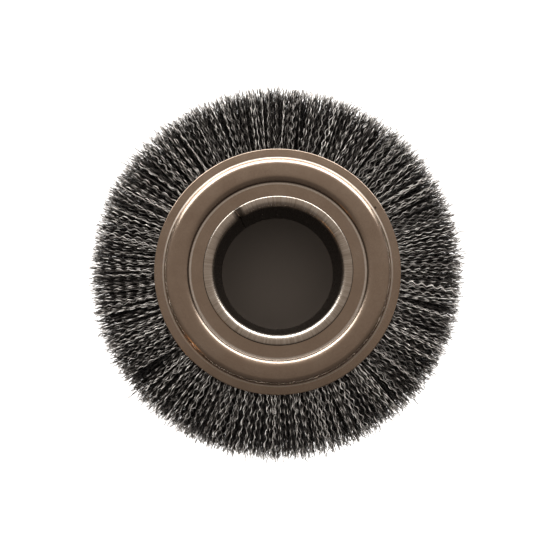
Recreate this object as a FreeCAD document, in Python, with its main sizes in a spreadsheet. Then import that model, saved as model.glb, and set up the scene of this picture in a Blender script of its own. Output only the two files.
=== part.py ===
import FreeCAD, Part
import Sketcher
import math
import os

# Crimped wire wheel brush, lying on its rear hub lip.
# The spin axis is Z and the origin is the centre of the arbor bore. Sizes are in millimetres.

doc = FreeCAD.newDocument("WireWheelBrush")

# Driving sizes: alias, value, meaning
driving_sizes = [
    ("arbor_bore", 50.8, "bore of the hub sleeve, a two inch arbor"),
    ("brush_diameter", 152.4, "over the longest wire tips, six inches"),
    ("hub_length", 28.6, "over the two rolled lips of the sleeve"),
    ("face_width", 27.0, "across the wire tips"),
    ("tip_dome", 3.0, "how much shorter the outermost tips stand"),
    ("sleeve_wall", 1.2, "strip that the sleeve is rolled from"),
    ("lip_reach", 4.3, "rolled lip, from the bore to its outer edge"),
    ("lip_flat", 0.5, "flat crest pressed on the lip"),
    ("seam_gap", 0.35, "open butt seam of the rolled sleeve"),
    ("seam_angle", 125.0, "where the seam lies round the bore, in degrees"),
    ("plate_thickness", 1.2, "sheet of the side plates"),
    ("plate_play", 0.05, "radial play of a side plate on the sleeve"),
    ("land_width", 5.1, "flat land between the lip and the bead"),
    ("bead_width", 10.7, "raised bead, foot to foot"),
    ("bead_rise", 1.6, "top of the bead above the land"),
    ("crown_dome", 0.35, "how much the top of the bead is domed"),
    ("slope_ratio", 1.0, "run of the bead's sides for each unit of rise"),
    ("flange_width", 4.0, "flat flange outside the bead"),
    ("flange_drop", 1.0, "flange below the land"),
    ("crown_radius", 3.2, "rounding of the bead's shoulders"),
    ("bend_radius", 1.0, "inside radius at the foot of the bead"),
    ("rim_radius", 0.4, "rounding of the plate's outer edge"),
    ("ring_wire", 3.2, "wire of the core rings"),
    ("ring_offset", 6.4, "core ring's middle outside the sleeve"),
    ("ring_play", 0.1, "play of a core ring in its fold of wires"),
    ("row_gap", 0.2, "gap between two wire rows"),
    ("fold_gap", 0.4, "slit between the two legs of a folded row"),
    ("groove_depth", 2.4, "groove between two locks of wire on a face, at the tips"),
    ("groove_width", 6.6, "mouth of that groove, at the tips"),
    ("groove_start", 0.8, "start of the grooves outside the side plate"),
    ("notch_depth", 2.2, "notch between two locks of wire, into their tips"),
    ("notch_width", 2.6, "mouth of that notch"),
]
rows_on_each_side = 2
locks_in_row = 60

sheet = doc.addObject("Spreadsheet::Sheet", "Sizes")
for line, (alias, size, meaning) in enumerate(driving_sizes, start=1):
    sheet.set(f"A{line}", alias)
    sheet.set(f"B{line}", str(size))
    sheet.set(f"C{line}", meaning)
    sheet.setAlias(f"B{line}", alias)
doc.recompute()


def size(alias):
    return f"Sizes.{alias}"


def number(expression):
    return float(sheet.evalExpression(expression))


# Sizes that follow from the driving ones, as expressions
bore_radius = f"({size('arbor_bore')} / 2)"
sleeve_radius = f"({bore_radius} + {size('sleeve_wall')})"
lip_radius = f"(({size('lip_reach')} - {size('lip_flat')}) / 2)"
lip_edge = f"({bore_radius} + {size('lip_reach')})"
hub_half = f"({size('hub_length')} / 2)"
land_top = f"({hub_half} - {lip_radius})"
flange_top = f"({land_top} - {size('flange_drop')})"
crown_top = f"({land_top} + {size('bead_rise')})"
shoulder_top = f"({crown_top} - {size('crown_dome')})"
bead_inner = f"({lip_edge} + {size('land_width')})"
bead_outer = f"({bead_inner} + {size('bead_width')})"
plate_radius = f"({bead_outer} + {size('flange_width')})"
clamp_half = f"({flange_top} - {size('plate_thickness')})"
ring_radius = f"({sleeve_radius} + {size('ring_offset')})"
brush_radius = f"({size('brush_diameter')} / 2)"


def origin_feature(body, role):
    return [feature for feature in body.Origin.OriginFeatures if feature.Role == role][0]


def point(x, y):
    return FreeCAD.Vector(number(x), number(y), 0)


def angle_of(vector):
    return math.atan2(vector.y, vector.x)


# Draws a closed outline on a plane of the body and ties every corner to the sheet.
# A corner is (x, y); where an arc leads on to the next corner it is
# (x, y, centre x, centre y, turn) with the turn "left" or "right".
def add_outline(body, label, role, corners):
    sketch = body.newObject("Sketcher::SketchObject", label)
    sketch.AttachmentSupport = (origin_feature(body, role), [""])
    sketch.MapMode = "FlatFace"
    ends = []
    count = len(corners)
    for index, corner in enumerate(corners):
        here = point(*corner[:2])
        there = point(*corners[(index + 1) % count][:2])
        if len(corner) == 2:
            sketch.addGeometry(Part.LineSegment(here, there))
            ends.append((1, 2))
            continue
        centre = point(*corner[2:4])
        circle = Part.Circle(centre, FreeCAD.Vector(0, 0, 1), (here - centre).Length)
        first = angle_of(here - centre)
        last = angle_of(there - centre)
        if corner[4] == "left":
            sketch.addGeometry(Part.ArcOfCircle(circle, first, last))
            ends.append((1, 2))
        else:
            sketch.addGeometry(Part.ArcOfCircle(circle, last, first))
            ends.append((2, 1))
    for index in range(count):
        follower = (index + 1) % count
        joint = Sketcher.Constraint("Coincident", index, ends[index][1], follower, ends[follower][0])
        sketch.addConstraint(joint)
    for index, corner in enumerate(corners):
        tie(sketch, "X", index, ends[index][0], f"x{index}", corner[0])
        tie(sketch, "Y", index, ends[index][0], f"y{index}", corner[1])
        if len(corner) > 2:
            chord = point(*corners[(index + 1) % count][:2]) - point(*corner[:2])
            if abs(chord.x) > abs(chord.y):
                tie(sketch, "Y", index, 3, f"centre{index}", corner[3])
            else:
                tie(sketch, "X", index, 3, f"centre{index}", corner[2])
    return sketch


def tie(sketch, direction, geometry, vertex, name, expression):
    distance = Sketcher.Constraint(f"Distance{direction}", -1, 1, geometry, vertex, number(expression))
    place = sketch.addConstraint(distance)
    sketch.renameConstraint(place, name)
    sketch.setExpression(f"Constraints.{name}", expression)


def add_body(label):
    body = doc.addObject("PartDesign::Body", label)
    body.Label = label
    return body


def revolve(body, corners):
    sketch = add_outline(body, f"{body.Label}_outline", "XZ_Plane", corners)
    turned = body.newObject("PartDesign::Revolution", f"{body.Label}_turned")
    turned.Profile = sketch
    turned.ReferenceAxis = (sketch, ["V_Axis"])
    turned.Angle = 360
    doc.recompute()
    return turned


# Names of the circular edges of a feature at the given radius and height
def ring_edges(feature, radius, height):
    names = []
    for index, edge in enumerate(feature.Shape.Edges, start=1):
        if not isinstance(edge.Curve, Part.Circle):
            continue
        centre = edge.Curve.Center
        if abs(edge.Curve.Radius - number(radius)) < 0.001 and abs(centre.z - number(height)) < 0.001:
            names.append(f"Edge{index}")
    return names


def round_edges(body, label, base, rounding, places):
    names = []
    for radius, height in places:
        names += ring_edges(base, radius, height)
    fillet = body.newObject("PartDesign::Fillet", label)
    fillet.Base = (base, names)
    fillet.setExpression("Radius", rounding)
    doc.recompute()
    return fillet


# Copy of a front piece across the middle plane of the wheel
def mirrored(label, source):
    copy = doc.addObject("Part::Mirroring", label)
    copy.Label = label
    copy.Source = source
    copy.Normal = FreeCAD.Vector(0, 0, 1)
    return copy


# Stamped side plate: land, raised bead and flange, clamped under the sleeve's lip
def side_plate(label):
    thickness = size("plate_thickness")
    ratio = size("slope_ratio")
    offset = f"({thickness} * (sqrt(1 + {ratio} * {ratio}) - {ratio}))"
    crown_inner = f"({bead_inner} + ({shoulder_top} - {land_top}) * {ratio})"
    crown_outer = f"({bead_outer} - ({shoulder_top} - {flange_top}) * {ratio})"
    crown_middle = f"(({crown_inner} + {crown_outer}) / 2)"
    half_top = f"(({crown_outer} - {crown_inner}) / 2)"
    half_under = f"({half_top} - {offset})"
    dome = size("crown_dome")
    arc_top = f"(({half_top} * {half_top} + {dome} * {dome}) / (2 * {dome}))"
    arc_under = f"(({half_under} * {half_under} + {dome} * {dome}) / (2 * {dome}))"
    hole = f"({sleeve_radius} + {size('plate_play')})"

    corners = [
        (hole, land_top),
        (bead_inner, land_top),
        (crown_inner, shoulder_top, crown_middle, f"{crown_top} - {arc_top}", "right"),
        (crown_outer, shoulder_top),
        (bead_outer, flange_top),
        (plate_radius, flange_top),
        (plate_radius, f"{flange_top} - {thickness}"),
        (f"{bead_outer} - {offset}", f"{flange_top} - {thickness}"),
        (f"{crown_outer} - {offset}", f"{shoulder_top} - {thickness}",
         crown_middle, f"{crown_top} - {thickness} - {arc_under}", "left"),
        (f"{crown_inner} + {offset}", f"{shoulder_top} - {thickness}"),
        (f"{bead_inner} + {offset}", f"{land_top} - {thickness}"),
        (hole, f"{land_top} - {thickness}"),
    ]
    body = add_body(label)
    feature = revolve(body, corners)
    shoulders = [corners[2][:2], corners[3][:2]]
    shoulders_under = [corners[8][:2], corners[9][:2]]
    feet = [corners[1], corners[4]]
    feet_under = [corners[7], corners[10]]
    rim = [corners[5]]
    bend = size("bend_radius")
    crown = size("crown_radius")
    feature = round_edges(body, f"{label}_shoulders", feature, crown, shoulders)
    crown_under = f"{crown} - {thickness}"
    feature = round_edges(body, f"{label}_shoulders_under", feature, crown_under, shoulders_under)
    feature = round_edges(body, f"{label}_feet", feature, bend, feet)
    feature = round_edges(body, f"{label}_feet_under", feature, f"{bend} + {thickness}", feet_under)
    feature = round_edges(body, f"{label}_rim", feature, size("rim_radius"), rim)
    return body


# Hub sleeve rolled from strip, with both ends turned outward over the side plates
def arbor_sleeve():
    wall = size("sleeve_wall")
    inner_bend = f"({lip_radius} - {wall})"
    crest_start = f"({bore_radius} + {lip_radius})"
    crest_end = f"({lip_edge} - {lip_radius})"
    lip_end = f"({lip_edge} - {wall})"
    crest_under = f"({land_top} + {inner_bend})"
    corners = [
        (bore_radius, f"-{land_top}"),
        (bore_radius, land_top, crest_start, land_top, "right"),
        (crest_start, hub_half),
        (crest_end, hub_half, crest_end, land_top, "right"),
        (lip_edge, land_top),
        (lip_end, land_top, crest_end, land_top, "left"),
        (crest_end, crest_under),
        (crest_start, crest_under, crest_start, land_top, "left"),
        (sleeve_radius, land_top),
        (sleeve_radius, f"-{land_top}", crest_start, f"-{land_top}", "left"),
        (crest_start, f"-{crest_under}"),
        (crest_end, f"-{crest_under}", crest_end, f"-{land_top}", "left"),
        (lip_end, f"-{land_top}"),
        (lip_edge, f"-{land_top}", crest_end, f"-{land_top}", "right"),
        (crest_end, f"-{hub_half}"),
        (crest_start, f"-{hub_half}", crest_start, f"-{land_top}", "right"),
    ]
    body = add_body("arbor_sleeve")
    revolve(body, corners)
    half_gap = f"({size('seam_gap')} / 2)"
    near = f"({bore_radius} - 1)"
    far = f"({lip_edge} + 1)"
    seam_corners = [
        (near, f"-{half_gap}"),
        (far, f"-{half_gap}"),
        (far, half_gap),
        (near, half_gap),
    ]
    seam = body.newObject("PartDesign::Pocket", "arbor_sleeve_seam")
    seam.Profile = add_outline(body, "arbor_sleeve_seam_outline", "XY_Plane", seam_corners)
    seam.Type = "ThroughAll"
    seam.SideType = "Symmetric"
    doc.recompute()
    body.Placement = FreeCAD.Placement(FreeCAD.Vector(), FreeCAD.Rotation(FreeCAD.Vector(0, 0, 1), 0))
    body.setExpression("Placement.Rotation.Angle", size("seam_angle"))
    return body


base_pitch = f"({clamp_half} / {rows_on_each_side})"
tip_pitch = f"({size('face_width')} / 2 / {rows_on_each_side})"


# Radius of the wire tips at a share of the half face width, 0 at the middle and 1 at the edge
def tip_radius(share):
    return f"({brush_radius} - {size('tip_dome')} * {share * share})"


def row_middle(place):
    return f"({base_pitch} * {place + 0.5})"


# Row of crimped wires folded like a hairpin round its core ring; place 0 lies next to the middle
def wire_row(label, place):
    inset = f"({size('row_gap')} / 2)"
    slit = f"({size('fold_gap')} / 2)"
    outermost = place == rows_on_each_side - 1
    base_near = f"({base_pitch} * {place} + {inset})"
    base_far = f"({base_pitch} * {place + 1})" if outermost else f"({base_pitch} * {place + 1} - {inset})"
    base_middle = row_middle(place)
    tip_near = f"({tip_pitch} * {place} + {inset})"
    tip_far = f"({tip_pitch} * {place + 1} - {inset})"
    tip_middle = f"({tip_pitch} * {place + 0.5})"
    share_near = place / rows_on_each_side
    share_middle = (place + 0.5) / rows_on_each_side
    share_far = (place + 1) / rows_on_each_side
    pocket = f"({size('ring_wire')} / 2 + {size('ring_play')})"
    slit_start = f"({ring_radius} + sqrt({pocket} * {pocket} - {slit} * {slit}))"
    fold_middle = f"(({base_near} + {base_far}) / 2)"
    corners = [
        (ring_radius, base_near),
        (plate_radius, base_near),
        (tip_radius(share_near), tip_near),
        (tip_radius(share_middle), f"{tip_middle} - {slit}"),
        (plate_radius, f"{base_middle} - {slit}"),
        (slit_start, f"{base_middle} - {slit}", ring_radius, base_middle, "right"),
        (slit_start, f"{base_middle} + {slit}"),
        (plate_radius, f"{base_middle} + {slit}"),
        (tip_radius(share_middle), f"{tip_middle} + {slit}"),
        (tip_radius(share_far), tip_far),
        (plate_radius, base_far),
        (ring_radius, base_far, ring_radius, fold_middle, "left"),
    ]
    body = add_body(label)
    revolve(body, corners)
    cuts = [tip_notch(body, tip_radius(share_far))]
    if outermost:
        cuts.append(face_groove(body, tip_radius(share_far), tip_far, base_far))
    locks = body.newObject("PartDesign::PolarPattern", f"{label}_locks")
    locks.Originals = cuts
    locks.Axis = (origin_feature(body, "Z_Axis"), [""])
    locks.Angle = 360
    locks.Occurrences = locks_in_row
    body.Tip = locks
    doc.recompute()
    stagger = 0 if outermost else 180 / locks_in_row
    body.Placement = FreeCAD.Placement(FreeCAD.Vector(), FreeCAD.Rotation(FreeCAD.Vector(0, 0, 1), stagger))
    return body


# Notch across the tips of a row, where two locks of wire part.
# Its outline runs as far past the tips as into them, so it is twice as wide there.
def tip_notch(body, tips):
    depth = size("notch_depth")
    width = size("notch_width")
    corners = [
        (f"{tips} - {depth}", "0"),
        (f"{tips} + {depth}", f"-{width}"),
        (f"{tips} + {depth}", width),
    ]
    notch = body.newObject("PartDesign::Pocket", f"{body.Label}_notch")
    notch.Profile = add_outline(body, f"{body.Label}_notch_outline", "XY_Plane", corners)
    notch.Type = "ThroughAll"
    notch.SideType = "Symmetric"
    doc.recompute()
    return notch


# Groove along the face of an outermost row, as much shallower at the plate as the locks are narrower.
# Its outline stands twice as high as the groove is deep, so it is twice as wide at the top.
def face_groove(body, tips, face_at_tips, face_at_plate):
    start = f"({plate_radius} + {size('groove_start')})"
    depth = size("groove_depth")
    depth_at_start = f"({depth} * {start} / {tips})"
    slope = f"(({face_at_tips} - {face_at_plate}) / ({tips} - {plate_radius}))"
    face_at_start = f"({face_at_plate} + {slope} * {size('groove_start')})"
    bottom_at_start = f"({face_at_start} - {depth_at_start})"
    bottom_rise = f"({face_at_tips} - {depth} - {bottom_at_start})"
    outline_top = f"({bottom_at_start} + 2 * {depth})"
    width = size("groove_width")
    corners = [
        ("0", bottom_at_start),
        (width, outline_top),
        (f"-{width}", outline_top),
    ]
    outline = add_outline(body, f"{body.Label}_groove_outline", "YZ_Plane", corners)
    outline.setExpression("AttachmentOffset.Base.z", start)
    groove = body.newObject("PartDesign::Pocket", f"{body.Label}_groove")
    groove.Profile = outline
    groove.UseCustomVector = True
    groove.AlongSketchNormal = True
    groove.Direction = FreeCAD.Vector(number(f"{tips} - {start}"), 0, number(bottom_rise))
    groove.setExpression("Direction.x", f"{tips} - {start}")
    groove.setExpression("Direction.z", bottom_rise)
    groove.setExpression("Length", f"{brush_radius} - {start} + {size('notch_depth')}")
    doc.recompute()
    return groove


# Closed ring of round wire that a row is folded over
def core_ring(label, place, at_rear):
    ring = doc.addObject("Part::Torus", label)
    ring.Label = label
    ring.setExpression("Radius1", ring_radius)
    ring.setExpression("Radius2", f"{size('ring_wire')} / 2")
    height = row_middle(place)
    ring.setExpression("Placement.Base.z", f"-{height}" if at_rear else height)
    return ring


front_plate = side_plate("front_side_plate")
outer_row = wire_row("wire_row_1", 1)
inner_row = wire_row("wire_row_2", 0)
pieces = [
    front_plate,
    mirrored("rear_side_plate", front_plate),
    arbor_sleeve(),
    outer_row,
    inner_row,
    mirrored("wire_row_3", inner_row),
    mirrored("wire_row_4", outer_row),
    core_ring("core_ring_1", 1, False),
    core_ring("core_ring_2", 0, False),
    core_ring("core_ring_3", 0, True),
    core_ring("core_ring_4", 1, True),
]
doc.recompute()

for item in doc.Objects:
    if "Invalid" in item.State or "Error" in item.State:
        raise RuntimeError(f"{item.Label} did not rebuild")
for piece in pieces:
    if piece.Shape.isNull() or not piece.Shape.isValid() or len(piece.Shape.Solids) != 1:
        raise RuntimeError(f"{piece.Label} is not one sound solid")

os.makedirs("parts", exist_ok=True)
for piece in pieces:
    piece.Shape.exportStep(f"parts/{piece.Label}.step")
    box = piece.Shape.BoundBox
    print(piece.Label, round(piece.Shape.Volume, 1), [round(value, 2) for value in (
        box.XMin, box.XMax, box.YMin, box.YMax, box.ZMin, box.ZMax)])
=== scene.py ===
import bpy
import math
import numpy as np
from mathutils import Matrix, Vector


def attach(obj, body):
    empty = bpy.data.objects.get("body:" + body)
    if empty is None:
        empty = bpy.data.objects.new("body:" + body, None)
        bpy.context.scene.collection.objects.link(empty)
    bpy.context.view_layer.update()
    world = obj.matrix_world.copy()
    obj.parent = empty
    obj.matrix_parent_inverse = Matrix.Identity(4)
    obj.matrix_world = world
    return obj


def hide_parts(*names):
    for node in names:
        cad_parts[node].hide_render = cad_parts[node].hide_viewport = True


# Crimped wire wheel brush lying on its rear hub lip, seen almost straight down its bore.
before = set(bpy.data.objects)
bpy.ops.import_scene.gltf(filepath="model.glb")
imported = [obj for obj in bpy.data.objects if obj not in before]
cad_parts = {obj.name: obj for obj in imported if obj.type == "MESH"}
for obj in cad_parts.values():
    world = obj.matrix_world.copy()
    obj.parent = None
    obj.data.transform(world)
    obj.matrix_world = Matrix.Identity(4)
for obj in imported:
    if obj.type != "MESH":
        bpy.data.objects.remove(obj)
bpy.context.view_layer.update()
mm = 0.001
print("frame loaded", sorted(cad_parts))


def deselectAll():
    if bpy.context.object and bpy.context.object.mode != "OBJECT":
        bpy.ops.object.mode_set(mode="OBJECT")
    bpy.ops.object.select_all(action="DESELECT")


def hexColour(code):
    parts = [int(code[i:i + 2], 16) / 255 for i in (1, 3, 5)]
    linear = [c / 12.92 if c <= 0.04045 else ((c + 0.055) / 1.055) ** 2.4 for c in parts]
    return (*linear, 1.0)


# one node with its settings and its links, values by socket name or number
def addNode(tree, kind, links=None, values=None, **settings):
    node = tree.nodes.new(kind)
    for key, value in settings.items():
        setattr(node, key, value)
    for socket, value in (values or {}).items():
        node.inputs[socket].default_value = value
    for socket, source in (links or {}).items():
        tree.links.new(source, node.inputs[socket])
    return node


def newMaterial(name):
    material = bpy.data.materials.new(name)
    material.use_nodes = True
    tree = material.node_tree
    shader = tree.nodes["Principled BSDF"]
    return material, tree, shader


# two colours or more along a 0 to 1 value
def colourRamp(tree, source, stops):
    node = addNode(tree, "ShaderNodeValToRGB", {"Fac": source})
    ramp = node.color_ramp
    while len(ramp.elements) < len(stops):
        ramp.elements.new(0.5)
    for element, (place, code) in zip(ramp.elements, stops):
        element.position = place
        element.color = hexColour(code)
    return node.outputs["Color"]


# straight value range to value range
def mapRange(tree, source, low, high, toLow, toHigh):
    node = addNode(tree, "ShaderNodeMapRange", {"Value": source},
                   {"From Min": low, "From Max": high, "To Min": toLow, "To Max": toHigh})
    return node.outputs["Result"]


def mathNode(tree, operation, first, second=None):
    node = addNode(tree, "ShaderNodeMath", operation=operation)
    for number, value in enumerate((first, second)):
        if isinstance(value, (int, float)):
            node.inputs[number].default_value = value
        elif value is not None:
            tree.links.new(value, node.inputs[number])
    return node.outputs[0]


# lays a colour over another one, by a 0 to 1 share
def coatColour(tree, share, under, code):
    node = addNode(tree, "ShaderNodeMix", {0: share, 6: under}, {7: hexColour(code)}, data_type="RGBA")
    return node.outputs[2]


# darkens or lightens a colour by a factor
def fleckColour(tree, colour, factor):
    node = addNode(tree, "ShaderNodeMix", {6: colour, 7: factor}, {0: 1.0},
                   data_type="RGBA", blend_type="MULTIPLY")
    return node.outputs[2]


# distance from the bore axis
def axisRadius(tree, place):
    split = addNode(tree, "ShaderNodeSeparateXYZ", {"Vector": place})
    flat = addNode(tree, "ShaderNodeCombineXYZ", {"X": split.outputs["X"], "Y": split.outputs["Y"]})
    node = addNode(tree, "ShaderNodeVectorMath", {0: flat.outputs["Vector"]}, operation="LENGTH")
    return node.outputs["Value"]


# fine lines round the axis at the given radii in mm, full within one distance and gone at another
def ringLines(tree, radius, rings, full, gone, strength):
    lines = []
    for ring in rings:
        away = mathNode(tree, "ABSOLUTE", mathNode(tree, "SUBTRACT", radius, ring * mm))
        lines.append(mapRange(tree, away, full * mm, gone * mm, strength, 0.0))
    return mathNode(tree, "MAXIMUM", *lines)


# camera
cameraSetup = {
    "place": (-2.477, -9.912, 172.973),  # mm, a hand's breadth above the face
    "aim": (0.658, -3.856, 12.4),
    "lens": 26.0,
    "sensor": 36.0,
}
cameraData = bpy.data.cameras.new("photoCamera")
cameraData.lens = cameraSetup["lens"]
cameraData.sensor_width = cameraSetup["sensor"]
cameraData.clip_start = 0.005
cameraData.clip_end = 20.0
camera = bpy.data.objects.new("photoCamera", cameraData)
bpy.context.collection.objects.link(camera)
camera.location = Vector(cameraSetup["place"]) * mm
sight = (Vector(cameraSetup["aim"]) - Vector(cameraSetup["place"])).normalized()
right = sight.cross(Vector((0, 1, 0))).normalized()
upward = right.cross(sight)
camera.rotation_mode = "QUATERNION"
camera.rotation_quaternion = (
    Matrix((right, upward, -sight)).transposed().to_quaternion())
bpy.context.scene.camera = camera
bpy.context.scene.view_settings.view_transform = "Standard"
print("camera placed")


# corner list (radius, height, rounding) in mm to a smooth closed section
def roundedSection(corners, steps):
    points = []
    count = len(corners)
    for i, (x, z, rounding) in enumerate(corners):
        here = Vector((x, z))
        before = Vector(corners[i - 1][:2]) - here
        after = Vector(corners[(i + 1) % count][:2]) - here
        a, b = before.normalized(), after.normalized()
        half = math.acos(max(-1, min(1, a.dot(b)))) / 2
        if rounding <= 0 or half > math.radians(89):
            points.append(here)
            continue
        reach = min(rounding / math.tan(half), before.length * 0.9, after.length * 0.9)
        radius = reach * math.tan(half)
        middle = here + (a + b).normalized() * (radius / math.sin(half))
        start, end = here + a * reach - middle, here + b * reach - middle
        turn = start.angle_signed(end)
        for k in range(steps + 1):
            angle = -turn * k / steps
            spun = Vector((start.x * math.cos(angle) - start.y * math.sin(angle),
                           start.x * math.sin(angle) + start.y * math.cos(angle)))
            points.append(middle + spun)
    return points


# draws a section vertex by vertex, then spins it round the bore axis
def turnSection(name, points, steps, angle=2 * math.pi, startAngle=0.0):
    deselectAll()
    bpy.ops.mesh.primitive_plane_add(size=0.001, location=(0, 0, 0))
    piece = bpy.context.object
    piece.name = name
    piece.data.name = name
    bpy.ops.object.mode_set(mode="EDIT")
    bpy.ops.mesh.select_all(action="SELECT")
    bpy.ops.mesh.merge(type="CENTER")
    places = [Vector((p.x * math.cos(startAngle), p.x * math.sin(startAngle), p.y)) * mm for p in points]
    bpy.ops.transform.translate(value=places[0])
    for here, there in zip(places, places[1:]):
        bpy.ops.mesh.extrude_region_move(TRANSFORM_OT_translate={"value": there - here})
    bpy.ops.mesh.select_all(action="SELECT")
    bpy.ops.mesh.edge_face_add()  # closes the section
    whole = abs(angle) > 2 * math.pi - 1e-6
    if whole:
        bpy.ops.mesh.delete(type="ONLY_FACE")
        bpy.ops.mesh.select_all(action="SELECT")
    bpy.ops.mesh.spin(steps=steps, angle=angle, center=(0, 0, 0), axis=(0, 0, 1))
    bpy.ops.mesh.select_all(action="SELECT")
    bpy.ops.mesh.remove_doubles(threshold=0.000002)
    if not whole:
        bpy.ops.mesh.select_all(action="DESELECT")
        bpy.ops.mesh.select_non_manifold()
        bpy.ops.mesh.fill_holes(sides=0)
        bpy.ops.mesh.select_all(action="SELECT")
    bpy.ops.mesh.normals_make_consistent(inside=False)
    bpy.ops.object.mode_set(mode="OBJECT")
    bpy.ops.object.shade_smooth_by_angle(angle=math.radians(40))
    return piece


# side plates
plateSetup = {
    "hole": 26.65, "landTop": 12.4, "flangeTop": 11.4, "thickness": 1.2, "crown": 14.15,
    "beadFoot": 35.4, "beadEnd": 45.7, "rim": 49.55, "rimDrop": 0.05, "steps": 288,
    "innerSlope": 52.0, "outerSlope": 60.0,        # degrees at the steepest part of the bead's flanks
    "innerShoulder": 3.5, "outerShoulder": 3.3,    # rounding from the flanks up to the crown
    "innerFoot": 1.0, "outerFoot": 0.4,            # rounding from the flats up to the flanks
    "edge": 0.45, "cutEdge": 0.15,                 # rounding of the rim and of the other cut edges
    "nick": (39.2, 25.5, 11.4),
}


def plateCorners(s, side):
    t = s["thickness"]
    innerTan, outerTan = math.tan(math.radians(s["innerSlope"])), math.tan(math.radians(s["outerSlope"]))
    inner = s["beadFoot"] + (s["crown"] - s["landTop"]) / innerTan
    outer = s["beadEnd"] - (s["crown"] - s["flangeTop"]) / outerTan
    # shift of the corners on the under side, from the half angles of the slopes
    innerSlip = t * math.tan(math.radians(s["innerSlope"] / 2))
    outerSlip = t * math.tan(math.radians(s["outerSlope"] / 2))
    top = [
        (s["hole"], s["landTop"], s["cutEdge"]),
        (s["beadFoot"], s["landTop"], s["innerFoot"]),
        (inner, s["crown"], s["innerShoulder"]),
        (outer, s["crown"], s["outerShoulder"]),
        (s["beadEnd"], s["flangeTop"], s["outerFoot"]),
        (s["rim"], s["flangeTop"] - s["rimDrop"], s["edge"]),
    ]
    under = [
        (s["rim"], s["flangeTop"] - s["rimDrop"] - t, s["cutEdge"]),
        (s["beadEnd"] - outerSlip, s["flangeTop"] - t, s["outerFoot"] + t),
        (outer - outerSlip, s["crown"] - t, s["outerShoulder"] - t),
        (inner + innerSlip, s["crown"] - t, s["innerShoulder"] - t),
        (s["beadFoot"] + innerSlip, s["landTop"] - t, s["innerFoot"] + t),
        (s["hole"], s["landTop"] - t, s["cutEdge"]),
    ]
    return [(x, z * side, r) for x, z, r in top + under]


plates = []
for name, node, side in (("frontPlate", "front_side_plate", 1), ("rearPlate", "rear_side_plate", -1)):
    plate = turnSection(name, roundedSection(plateCorners(plateSetup, side), 8), plateSetup["steps"])
    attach(plate, "root")
    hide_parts(node)
    plates.append(plate)
print("side plates turned")


# hub sleeve
sleeveSetup = {
    "bore": 25.4, "wall": 1.2, "reach": 4.3, "half": 14.3, "landTop": 12.4,
    "throat": 2.4, "lipEdge": 0.8,  # rounding out of the bore and at the lip's outer edge
    "outerHem": 0.3, "innerHem": 0.1, "hollow": 0.6,  # rounding of the strip's end and inside the lip
    "hemLift": 0.02,                # end of the strip above the plate
    "seamAngle": 125.0, "seamGap": 0.35, "steps": 288,
}


def sleeveCorners(s):
    inner, outer = s["bore"], s["bore"] + s["reach"]
    wall, top, hem = s["wall"], s["half"], s["landTop"] + s["hemLift"]
    upper = [
        (inner, top, s["throat"]),
        (outer, top, s["lipEdge"]),
        (outer, hem, s["outerHem"]),
        (outer - wall, hem, s["innerHem"]),
        (outer - wall, top - wall, s["hollow"]),
        (inner + wall, top - wall, s["hollow"]),
    ]
    lower = [(x, -z, r) for x, z, r in reversed(upper)]
    return upper + lower


gapTurn = sleeveSetup["seamGap"] / sleeveSetup["bore"]
sleeve = turnSection(
    "hubSleeve", roundedSection(sleeveCorners(sleeveSetup), 8), sleeveSetup["steps"],
    angle=2 * math.pi - gapTurn,
    startAngle=math.radians(sleeveSetup["seamAngle"]) + gapTurn / 2)
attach(sleeve, "root")
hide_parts("arbor_sleeve")
print("hub sleeve turned")


# crimped wires
wireSetup = {
    "radius": 0.1624,       # mm, to the corners of the three sided bar
    "wave": 4.6,            # crimp, crest to crest
    "swing": 0.66,          # crimp, middle to crest
    "start": 48.2,          # hidden under the plate
    "plateEdge": 49.5,
    "tip": 75.4,            # mean reach at the middle of the face
    "tipSpread": 0.95,
    "tipDome": 2.2,
    "baseHalf": 9.45,       # clamped half width
    "faceHalf": 12.9,       # half width at the tips
    "steps": 23,            # lengths in a leg
    "phases": 8,
    "lean": 1.7,            # spread of the tips along the rim
    "lift": 0.25,           # spread of the tips across the face
    "bow": 0.6,
    "cells": 260,           # bundles round a row whose crimps nest in each other
    "nested": 0.45,         # share of the wires in such a bundle
    "crowd": 1.3,           # draws the wires of the outermost rows towards the face
    "roll": 0.8,            # spread of the crimps' planes, from upright
    "bundleRoll": 0.6,
    "nestedRoll": 0.35,     # spread within a bundle
    "paintedLightDepth": 0.26,       # depth under the face where the painted light fades into painted shade, and how softly
    "paintedLightFade": 0.19,
    "tipDepthShare": 0.25,         # share of the way from the tip that counts as depth
    "deepPaintedShade": 0.05,       # painted shade that is left deep inside
    "piecesInRow": 3,
    "wiresInPiece": 1000,
    "seed": 41,
}


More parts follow.
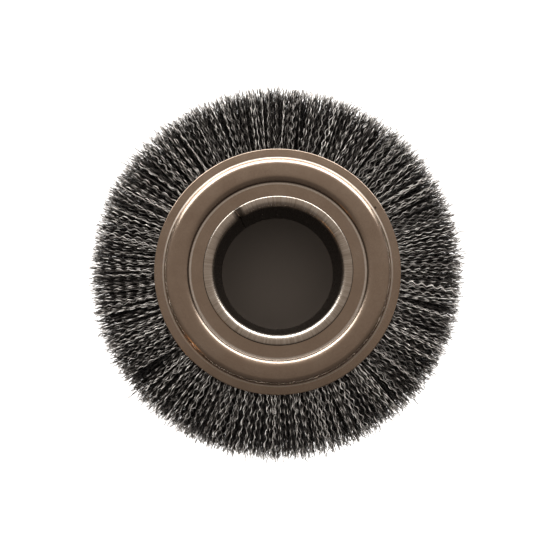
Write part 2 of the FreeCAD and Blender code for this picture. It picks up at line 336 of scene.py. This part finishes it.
# one leg along X: a three sided bar, pushed on step by step with its crimp
def crimpedLeg(s, phase):
    length = s["tip"] - s["start"]
    stride = length / s["steps"]
    pitch = s["wave"] * (0.88 + 0.24 * (phase * 5 % 1))  # no two legs alike

    def swingAt(x):
        wave = math.sin(2 * math.pi * (x / pitch + phase))
        return s["swing"] * (wave - 0.12 * wave ** 3)

    deselectAll()
    bpy.ops.mesh.primitive_circle_add(
        vertices=3, radius=s["radius"] * mm, fill_type="NGON", rotation=(0, math.pi / 2, 0),
        location=(0, 0, swingAt(0) * mm))
    leg = bpy.context.object
    bpy.ops.object.transform_apply(location=True, rotation=True, scale=True)
    bpy.ops.object.mode_set(mode="EDIT")
    bpy.ops.mesh.select_all(action="SELECT")
    for k in range(s["steps"]):
        rise = swingAt((k + 1) * stride) - swingAt(k * stride)
        bpy.ops.mesh.extrude_region_move(
            TRANSFORM_OT_translate={"value": (stride * mm, 0, rise * mm)})
    bpy.ops.mesh.select_all(action="SELECT")
    bpy.ops.mesh.normals_make_consistent(inside=False)
    bpy.ops.object.mode_set(mode="OBJECT")
    places = np.array([v.co[:] for v in leg.data.vertices]) / mm
    faces = [tuple(p.vertices) for p in leg.data.polygons]
    bpy.data.objects.remove(leg)
    return places, faces


legs = [crimpedLeg(wireSetup, k / wireSetup["phases"]) for k in range(wireSetup["phases"])]
print("wire legs modelled", len(legs[0][0]), "points each")


# copies of the legs for one piece of a row, each with its own lean, bow, roll and length
def wirePiece(name, s, row, part, rng):
    # rows 0 to 3 from front to rear, levels as shares of the half width
    high, low = 1 - 0.5 * row, 1 - 0.5 * (row + 1)
    count = s["wiresInPiece"]
    golden = (math.sqrt(5) - 1) / 2  # steps round the rim by this share keep every layer evenly filled
    rowRng = np.random.default_rng(s["seed"] + 1 + row)  # the same bundles in every piece of the row
    cellPhase = rowRng.integers(0, s["phases"], s["cells"])
    cellRoll = rowRng.normal(0, s["bundleRoll"], s["cells"])
    allPlaces, allFaces, allShades = [], [], []
    offset = 0
    span = s["tip"] - s["start"]
    for k in range(count):
        share = (k + rng.random()) / count
        if row == 0:
            share = share ** s["crowd"]
        if row == 3:
            share = 1 - (1 - share) ** s["crowd"]
        level = high - (high - low) * share
        turn = 2 * math.pi * ((k + part / s["piecesInRow"]) * golden + rng.normal(0, 0.002))
        phase, roll = rng.integers(0, s["phases"]), rng.normal(0, s["roll"])
        if rng.random() < s["nested"]:
            cell = int(turn / (2 * math.pi) % 1 * s["cells"])
            phase, roll = cellPhase[cell], cellRoll[cell] + rng.normal(0, s["nestedRoll"])
        places, faces = legs[phase]
        x, y, z = places.T
        y, z = y * math.cos(roll) - z * math.sin(roll), y * math.sin(roll) + z * math.cos(roll)
        along = x / span
        reach = s["tip"] - s["tipDome"] * level ** 2 + rng.normal(0, s["tipSpread"]) - s["start"]
        x = along * reach
        out = np.clip((s["start"] + x - s["plateEdge"]) / (s["tip"] - s["plateEdge"]), 0, 1.1)
        lean = rng.normal(0, s["lean"])
        lift = rng.normal(0, s["lift"])
        bow = rng.normal(0, s["bow"])
        swell = s["baseHalf"] + (s["faceHalf"] - s["baseHalf"]) * (1 - np.clip(1 - out, 0, 1) ** 1.6)
        z = z * np.clip(0.35 + out * 4, 0, 1) + level * swell + lift * out
        radial = s["start"] + x
        across = y + lean * out ** 1.2 + bow * np.sin(math.pi * out)
        placed = np.stack([
            radial * math.cos(turn) - across * math.sin(turn),
            radial * math.sin(turn) + across * math.cos(turn),
            z], axis=1)
        allPlaces.append(placed)
        allFaces += [tuple(i + offset for i in f) for f in faces]
        # painted light and shade by depth: crests at the face and the tips are painted bright, whatever lies
        # deeper is painted dark, standing in for the shade among the wires
        depth = np.minimum(swell - np.abs(z), s["tipDepthShare"] * (s["start"] + reach - radial))
        paintedDepthLight = 1 / (1 + np.exp((depth - s["paintedLightDepth"]) / s["paintedLightFade"]))
        allShades.append(rng.uniform(0.3, 1) * (s["deepPaintedShade"] + (1 - s["deepPaintedShade"]) * paintedDepthLight))
        offset += len(placed)
    mesh = bpy.data.meshes.new(name)
    mesh.from_pydata(np.concatenate(allPlaces) * mm, [], allFaces)
    shade = mesh.attributes.new("wirePaintedShade", "FLOAT", "POINT")
    shade.data.foreach_set("value", np.concatenate(allShades).astype(np.float32))
    mesh.update()
    piece = bpy.data.objects.new(name, mesh)
    bpy.context.collection.objects.link(piece)
    deselectAll()
    piece.select_set(True)
    bpy.context.view_layer.objects.active = piece
    bpy.ops.object.shade_smooth()
    return piece


wires = []
rng = np.random.default_rng(wireSetup["seed"])
for row in range(4):
    for part in range(wireSetup["piecesInRow"]):
        piece = wirePiece(f"wireRow{row + 1}_{part + 1}", wireSetup, row, part, rng)
        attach(piece, "root")
        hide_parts(f"wire_row_{row + 1}")
        wires.append(piece)
print("wires laid", sum(len(w.data.polygons) for w in wires), "faces")


# cold rolled sheet steel, stamped and tumbled: a satin warm grey with small pits and smears, with painted
# highlight and painted shade lines at the feet of the bead
def stampedSheetSteel():
    material, tree, shader = newMaterial("stampedSheetSteel")
    place = addNode(tree, "ShaderNodeTexCoord").outputs["Object"]
    cloud = addNode(tree, "ShaderNodeTexNoise", {"Vector": place},
                    {"Scale": 1000 / 9.0, "Detail": 5.0, "Roughness": 0.6})
    grain = addNode(tree, "ShaderNodeTexNoise", {"Vector": place},
                    {"Scale": 1000 / 0.7, "Detail": 4.0, "Roughness": 0.65})
    pits = addNode(tree, "ShaderNodeTexVoronoi", {"Vector": place}, {"Scale": 1000 / 11.0})
    pitMask = mapRange(tree, pits.outputs["Distance"], 0.012, 0.03, 1.0, 0.0)
    nickPlace = Vector(plateSetup["nick"]) * mm
    nick = addNode(tree, "ShaderNodeVectorMath", {0: place}, {1: nickPlace}, operation="DISTANCE")
    nickMask = mapRange(tree, nick.outputs["Value"], 0.3 * mm, 0.6 * mm, 1.0, 0.0)
    pitMask = mathNode(tree, "MAXIMUM", pitMask, nickMask)
    tone = colourRamp(tree, cloud.outputs["Fac"], [(0.3, "#C8B5A4"), (0.55, "#CEBCAB"), (0.8, "#D3C2B2")])
    tone = fleckColour(tree, tone, mapRange(tree, grain.outputs["Fac"], 0.3, 0.7, 0.93, 1.05))
    tone = coatColour(tree, pitMask, tone, "#5A4A3C")
    # painted highlight: bright lines at the two feet of the bead; painted shade: dark lines in the corners
    # beside
    foot, end = plateSetup["beadFoot"], plateSetup["beadEnd"]
    radius = axisRadius(tree, place)
    footHighlightLines = ringLines(tree, radius, (foot - 0.45, end + 0.05), 0.2, 0.55, 1.0)
    footHighlightLines = mathNode(tree, "MULTIPLY", footHighlightLines, mapRange(tree, grain.outputs["Fac"], 0.35, 0.6, 0.85, 1.0))
    footShadeLines = ringLines(tree, radius, (foot + 0.2, end - 0.5), 0.1, 0.35, 0.6)
    tone = coatColour(tree, footShadeLines, tone, "#3A3028")
    tone = coatColour(tree, footHighlightLines, tone, "#F2EAE0")
    tree.links.new(tone, shader.inputs["Base Color"])
    shader.inputs["Metallic"].default_value = 1.0
    satin = mapRange(tree, cloud.outputs["Fac"], 0.3, 0.75, 0.22, 0.28)
    rough = mathNode(tree, "MAXIMUM", satin, mathNode(tree, "MULTIPLY", footHighlightLines, 0.5))
    tree.links.new(rough, shader.inputs["Roughness"])
    bump = addNode(tree, "ShaderNodeBump", {"Height": grain.outputs["Fac"]},
                   {"Strength": 0.06, "Distance": 0.0002})
    tree.links.new(bump.outputs["Normal"], shader.inputs["Normal"])
    return material


# strip steel rolled to a tube and flared: forming lines run over the lips, dark scale at the seam
def rolledStripSteel():
    material, tree, shader = newMaterial("rolledStripSteel")
    place = addNode(tree, "ShaderNodeTexCoord").outputs["Object"]
    split = addNode(tree, "ShaderNodeSeparateXYZ", {"Vector": place})
    angle = mathNode(tree, "ARCTAN2", split.outputs["Y"], split.outputs["X"])
    around = mathNode(tree, "MULTIPLY", angle, 27.5 / 0.55)  # a line about every half millimetre
    lift = mathNode(tree, "MULTIPLY", split.outputs["Z"], 1000 / 6.0)
    polar = addNode(tree, "ShaderNodeCombineXYZ", {"X": around, "Y": lift})
    lines = addNode(tree, "ShaderNodeTexNoise", {"Vector": polar.outputs["Vector"]},
                    {"Scale": 1.0, "Detail": 4.0, "Roughness": 0.6})
    cloud = addNode(tree, "ShaderNodeTexNoise", {"Vector": place},
                    {"Scale": 1000 / 5.0, "Detail": 4.0, "Roughness": 0.6})
    tone = colourRamp(tree, lines.outputs["Fac"], [(0.25, "#B6AA9C"), (0.5, "#E4DACE"), (0.75, "#FFFAF2")])
    # seam: distance from its line, on its own side of the axis
    seam = math.radians(sleeveSetup["seamAngle"])
    turned = addNode(tree, "ShaderNodeMapping", {"Vector": place}, vector_type="POINT")
    turned.inputs["Rotation"].default_value = (0, 0, -seam)
    seamSplit = addNode(tree, "ShaderNodeSeparateXYZ", {"Vector": turned.outputs["Vector"]})
    aside = mathNode(tree, "ABSOLUTE", seamSplit.outputs["Y"])
    wobble = mathNode(tree, "MULTIPLY_ADD", cloud.outputs["Fac"], 0.0035)
    wobble.node.inputs[2].default_value = -0.0012
    near = mathNode(tree, "SUBTRACT", aside, wobble)
    smear = mapRange(tree, near, 0.5 * mm, 2.2 * mm, 1.0, 0.0)
    sameSide = mapRange(tree, seamSplit.outputs["X"], 0.0, 0.005, 0.0, 1.0)
    scale = mathNode(tree, "MULTIPLY", smear, sameSide)
    tone = coatColour(tree, mathNode(tree, "MULTIPLY", scale, 0.85), tone, "#2A231E")
    # painted shade: the bore is coated dark, standing in for the shadow inside the tube
    bore, rim = sleeveSetup["bore"], sleeveSetup["bore"] + sleeveSetup["reach"]
    radius = axisRadius(tree, place)
    inside = mapRange(tree, radius, bore * mm, (bore + 0.2) * mm, 1.0, 0.0)
    tone = coatColour(tree, inside, tone, "#4A423C")
    # painted shade: a dark line at the lip's outer edge, standing in for the shadow in the crevice under it
    lipEdgeShadeMask = mapRange(tree, radius, (rim - 0.45) * mm, (rim - 0.2) * mm, 0.0, 1.0)
    tone = coatColour(tree, lipEdgeShadeMask, tone, "#1E1A17")
    tree.links.new(tone, shader.inputs["Base Color"])
    shader.inputs["Metallic"].default_value = 1.0
    rough = mapRange(tree, lines.outputs["Fac"], 0.25, 0.75, 0.34, 0.24)
    tree.links.new(rough, shader.inputs["Roughness"])
    bump = addNode(tree, "ShaderNodeBump", {"Height": lines.outputs["Fac"]},
                   {"Strength": 0.22, "Distance": 0.0002})
    tree.links.new(bump.outputs["Normal"], shader.inputs["Normal"])
    return material


# drawn carbon steel wire: its tone follows the painted light and shade by depth that each leg carries
def drawnCarbonWire():
    material, tree, shader = newMaterial("drawnCarbonWire")
    place = addNode(tree, "ShaderNodeTexCoord").outputs["Object"]
    # the painted shade attribute sets the tone, from painted shade deep in to painted light at the crests
    shade = addNode(tree, "ShaderNodeAttribute", attribute_name="wirePaintedShade").outputs["Fac"]
    tone = colourRamp(tree, shade, [(0.0, "#161514"), (0.3, "#57534F"), (0.6, "#B4AFA9"), (1.0, "#F0ECE6")])
    grime = addNode(tree, "ShaderNodeTexNoise", {"Vector": place},
                    {"Scale": 1000 / 1.6, "Detail": 3.0, "Roughness": 0.6})
    tone = fleckColour(tree, tone, mapRange(tree, grime.outputs["Fac"], 0.35, 0.7, 0.75, 1.08))
    tree.links.new(tone, shader.inputs["Base Color"])
    shader.inputs["Metallic"].default_value = 1.0
    rough = mapRange(tree, grime.outputs["Fac"], 0.35, 0.7, 0.36, 0.24)
    tree.links.new(rough, shader.inputs["Roughness"])
    return material


# plain bright ring wire, hidden in the folds
def ringWireSteel():
    material, tree, shader = newMaterial("ringWireSteel")
    place = addNode(tree, "ShaderNodeTexCoord").outputs["Object"]
    grain = addNode(tree, "ShaderNodeTexNoise", {"Vector": place}, {"Scale": 1000 / 2.0, "Detail": 3.0})
    tone = colourRamp(tree, grain.outputs["Fac"], [(0.3, "#7A736C"), (0.7, "#A8A199")])
    tree.links.new(tone, shader.inputs["Base Color"])
    shader.inputs["Metallic"].default_value = 1.0
    shader.inputs["Roughness"].default_value = 0.4
    return material


def dress(piece, material):
    piece.data.materials.clear()
    piece.data.materials.append(material)


plateSteel = stampedSheetSteel()
for plate in plates:
    dress(plate, plateSteel)
dress(sleeve, rolledStripSteel())
wireSteel = drawnCarbonWire()
for piece in wires:
    dress(piece, wireSteel)
ringSteel = ringWireSteel()
for number in range(1, 5):
    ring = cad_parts[f"core_ring_{number}"]
    for place in ring.material_slots:
        place.material = ringSteel
print("materials on")


# pale floor
floorSetup = {"radius": 390.0, "level": -14.4, "colour": "#AAA8A6"}  # mm, a hair below the lip
deselectAll()
bpy.ops.mesh.primitive_circle_add(
    vertices=128, radius=floorSetup["radius"] * mm, fill_type="NGON",
    location=(0, 0, floorSetup["level"] * mm))
floor = bpy.context.object
floor.name = "paleFloor"
floorPaint, _, floorShader = newMaterial("paleFloorPaint")
floorShader.inputs["Base Color"].default_value = hexColour(floorSetup["colour"])
floorShader.inputs["Roughness"].default_value = 0.85
floorShader.inputs["Specular IOR Level"].default_value = 0.1
dress(floor, floorPaint)


# lights: a wide low window round the top of the face and a glow over it, a small warm lamp below left,
# four panes overhead for the wires alone, and four for the floor alone, too low to reach down the bore
lightSetup = [
    # name, turn from +X, distance, height, width and height of the pane in mm, watts, colour, what it lights
    ("topWindow", 94, 360, 105, 460, 225, 1.25, "#FFFFFF", "wheel"),
    ("leftWindow", 133, 360, 105, 190, 225, 0.42, "#FFFFFF", "wheel"),
    ("rightWindow", 50, 360, 105, 200, 225, 0.45, "#FFFFFF", "wheel"),
    ("upperGlow", 94, 330, 240, 700, 120, 0.12, "#FFFFFF", "wheel"),
    ("warmLamp", 219, 334, 80, 22, 22, 0.012, "#FFB46A", "wheel"),
    ("wiresBack", 90, 190, 330, 170, 170, 0.3, "#FFFFFF", "wires"),
    ("wiresLeft", 180, 190, 330, 170, 170, 0.5, "#FFFFFF", "wires"),
    ("wiresFront", 270, 190, 330, 170, 170, 0.5, "#FFFFFF", "wires"),
    ("wiresRight", 0, 190, 330, 170, 170, 0.45, "#FFFFFF", "wires"),
    ("floorFront", 270, 420, 140, 500, 150, 8.5, "#FFFFFF", "floor"),
    ("floorBack", 90, 420, 140, 500, 150, 8.5, "#FFFFFF", "floor"),
    ("floorLeft", 180, 420, 140, 500, 150, 8.5, "#FFFFFF", "floor"),
    ("floorRight", 0, 420, 140, 500, 150, 8.5, "#FFFFFF", "floor"),
]
lit = {"floor": [floor], "wires": wires, "wheel": [*plates, sleeve, *wires]}
lit["wheel"] += [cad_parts[f"core_ring_{number}"] for number in range(1, 5)]
receivers = {}
for target, objects in lit.items():
    receivers[target] = bpy.data.collections.new(f"{target}Lit")
    for item in objects:
        receivers[target].objects.link(item)
for name, turn, distance, height, width, pane, watts, code, target in lightSetup:
    lamp = bpy.data.lights.new(name, "AREA")
    lamp.shape = "RECTANGLE"
    lamp.size, lamp.size_y = width * mm, pane * mm
    lamp.energy = watts
    lamp.color = hexColour(code)[:3]
    lampObject = bpy.data.objects.new(name, lamp)
    bpy.context.collection.objects.link(lampObject)
    angle = math.radians(turn)
    place = Vector((distance * math.cos(angle), distance * math.sin(angle), height))
    lampObject.location = place * mm
    lampObject.rotation_euler = (-place).to_track_quat("-Z", "Y").to_euler()
    lampObject.light_linking.receiver_collection = receivers[target]

# dim warm room for reflections, lighter towards the window, pale where the camera looks past the floor
roomSetup = {
    "strength": 0.92,
    "dusk": (0.0, 0.45, 0.45),  # dimmer towards the horizon: from, to, share left
    "backdrop": "#FFFFFF",
    # share of the way from -Y to +Y, colour
    "tones": [(0.0, "#564E49"), (0.25, "#605852"), (0.35, "#736A62"), (0.43, "#8C8178"),
              (0.62, "#8C8178"), (0.73, "#9E9287"), (0.85, "#B6A89D"), (1.0, "#D3C3B6")],
}
world = bpy.data.worlds.new("studioRoom")
bpy.context.scene.world = world
world.use_nodes = True
roomTree = world.node_tree
roomTree.nodes.clear()
sky = addNode(roomTree, "ShaderNodeTexCoord").outputs["Generated"]
skySplit = addNode(roomTree, "ShaderNodeSeparateXYZ", {"Vector": sky})
toWindow = mapRange(roomTree, skySplit.outputs["Y"], -1.0, 1.0, 0.0, 1.0)
skyTone = colourRamp(roomTree, toWindow, roomSetup["tones"])
low, high, dim = roomSetup["dusk"]
dusk = mapRange(roomTree, skySplit.outputs["Z"], low, high, dim, 1.0)
power = mathNode(roomTree, "MULTIPLY", dusk, roomSetup["strength"])
room = addNode(roomTree, "ShaderNodeBackground", {"Color": skyTone, "Strength": power})
backdrop = addNode(roomTree, "ShaderNodeBackground",
                   values={"Color": hexColour(roomSetup["backdrop"]), "Strength": 1.0})
ray = addNode(roomTree, "ShaderNodeLightPath")
mixRoom = addNode(roomTree, "ShaderNodeMixShader",
                  {0: ray.outputs["Is Camera Ray"], 1: room.outputs[0], 2: backdrop.outputs[0]})
addNode(roomTree, "ShaderNodeOutputWorld", {"Surface": mixRoom.outputs[0]})
print("lights and room set")
